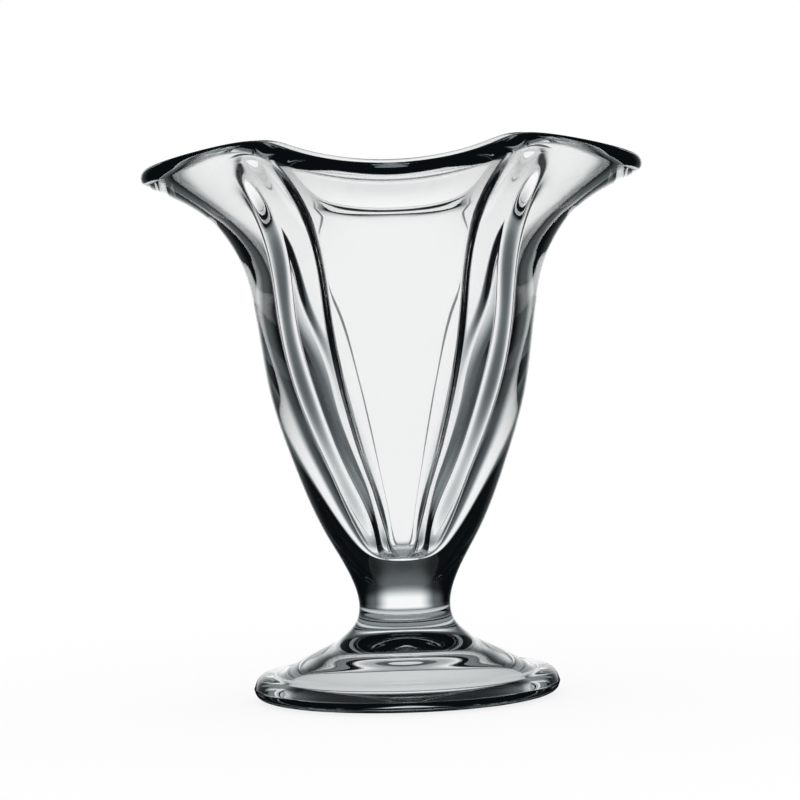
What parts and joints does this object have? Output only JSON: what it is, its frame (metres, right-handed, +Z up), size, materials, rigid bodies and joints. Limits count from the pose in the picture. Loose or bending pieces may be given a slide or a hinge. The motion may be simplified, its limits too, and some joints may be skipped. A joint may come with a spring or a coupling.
{
  "type": "parfait glass",
  "caption": "Clear pressed-glass parfait glass with a lobed, flared mouth, a ribbed tulip bowl, a short waisted stem and a round hollow foot, for iced desserts.",
  "frame": {"origin": "centre of the flat ring that the foot rests on", "axes": "+Z up along the glass's axis, -Y towards the front lobe of the mouth, +X to the right of the front view"},
  "size_m": [0.1234, 0.1234, 0.1386],
  "materials": {
    "clear_glass": "fire-polished clear soda-lime pressed glass"
  },
  "bodies": {
    "root": {"bowl": "clear_glass", "stem": "clear_glass", "foot": "clear_glass"}
  },
  "joints": []
}
